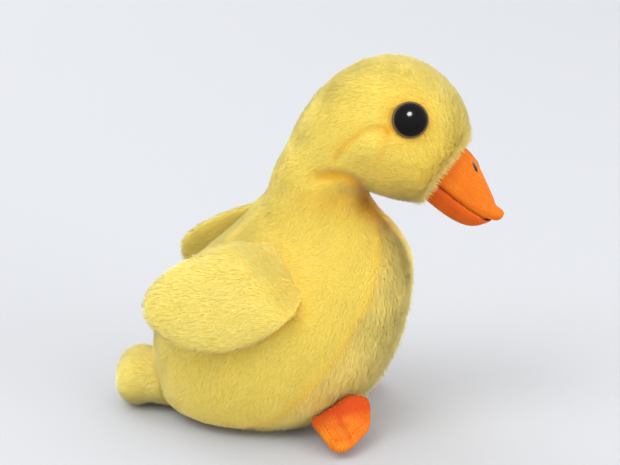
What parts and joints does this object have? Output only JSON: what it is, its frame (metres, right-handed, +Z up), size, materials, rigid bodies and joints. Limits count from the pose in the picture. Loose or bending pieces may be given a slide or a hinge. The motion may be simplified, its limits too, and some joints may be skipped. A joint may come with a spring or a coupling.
{
  "type": "plush duck",
  "caption": "Sitting plush duckling with sewn covers over separate fillings, a head that nods and turns, and wings, tail and feet that hinge at their seams.",
  "frame": {"origin": "on the floor, below the middle of the whole toy's box", "axes": "+X towards the bill, +Y towards the duck's left side, +Z up"},
  "size_m": [0.1688, 0.1128, 0.1628],
  "materials": {
    "lemon_plush": "short lemon-yellow plush pile, 4 to 5 mm",
    "pale_plush": "paler, slightly longer lemon plush pile",
    "orange_fleece": "fine-knit orange fleece",
    "fibre": "white polyester fibre fill",
    "bag_cloth": "plain woven cotton pouch of plastic pellets",
    "black_thread": "black satin-stitch embroidery",
    "eye_plastic": "glossy black dome with a dark amber rim",
    "washer_plastic": "matt white moulded washer"
  },
  "bodies": {
    "body": {"body_side_right": "lemon_plush", "body_side_left": "lemon_plush", "chest_belly_panel": "pale_plush", "body_filling": "fibre", "pellet_bag": "bag_cloth"},
    "neck": {"neck_cover": "lemon_plush", "neck_filling": "fibre"},
    "head": {"head_side_right": "lemon_plush", "head_side_left": "lemon_plush", "head_filling": "fibre", "eye_right": "eye_plastic", "eye_left": "eye_plastic", "eye_washer_right": "washer_plastic", "eye_washer_left": "washer_plastic", "upper_bill": "orange_fleece", "lower_bill": "orange_fleece", "bill_filling": "fibre", "nostril_right": "black_thread", "nostril_left": "black_thread"},
    "tail": {"tail_top": "lemon_plush", "tail_underside": "lemon_plush", "tail_filling": "fibre"},
    "wing_right": {"wing_right_outer": "lemon_plush", "wing_right_inner": "pale_plush", "wing_right_filling": "fibre"},
    "foot_right": {"foot_right_top": "orange_fleece", "foot_right_sole": "orange_fleece", "foot_right_padding": "fibre"},
    "wing_left": {"wing_left_outer": "lemon_plush", "wing_left_inner": "pale_plush", "wing_left_filling": "fibre"},
    "foot_left": {"foot_left_top": "orange_fleece", "foot_left_sole": "orange_fleece", "foot_left_padding": "fibre"}
  },
  "joints": [
    {"name": "neck_nod", "type": "hinge", "parent": "body", "child": "neck", "pos_m": [0.004, 0, 0.1], "axis": [0, 1, 0], "range_deg": [-25, 12], "stiffness_Nm_per_rad": 0.8},
    {"name": "head_turn", "type": "hinge", "parent": "neck", "child": "head", "pos_m": [0.004, 0, 0.1], "axis": [0, 0, 1], "range_deg": [-45, 45], "stiffness_Nm_per_rad": 0.12},
    {"name": "tail_lift", "type": "hinge", "parent": "body", "child": "tail", "pos_m": [-0.06249, 0, 0.014], "axis": [0, 1, 0], "range_deg": [-12, 5], "stiffness_Nm_per_rad": 0.05},
    {"name": "wing_right_lift", "type": "hinge", "parent": "body", "child": "wing_right", "pos_m": [0.00309, -0.04158, 0.0733], "axis": [0, 0.454, 0.891], "range_deg": [0, 75], "stiffness_Nm_per_rad": 0.06},
    {"name": "wing_left_lift", "type": "hinge", "parent": "body", "child": "wing_left", "pos_m": [-0.00121, 0.04158, 0.0708], "axis": [0, 0.454, -0.891], "range_deg": [0, 75], "stiffness_Nm_per_rad": 0.06},
    {"name": "foot_right_flap", "type": "hinge", "parent": "body", "child": "foot_right", "pos_m": [0.015, -0.03, 0.0105], "axis": [-0.8387, -0.5446, 0], "range_deg": [-12, 12], "stiffness_Nm_per_rad": 0.03},
    {"name": "foot_left_flap", "type": "hinge", "parent": "body", "child": "foot_left", "pos_m": [0.015, 0.03, 0.0105], "axis": [1, 0, 0], "range_deg": [-12, 12], "stiffness_Nm_per_rad": 0.03}
  ]
}
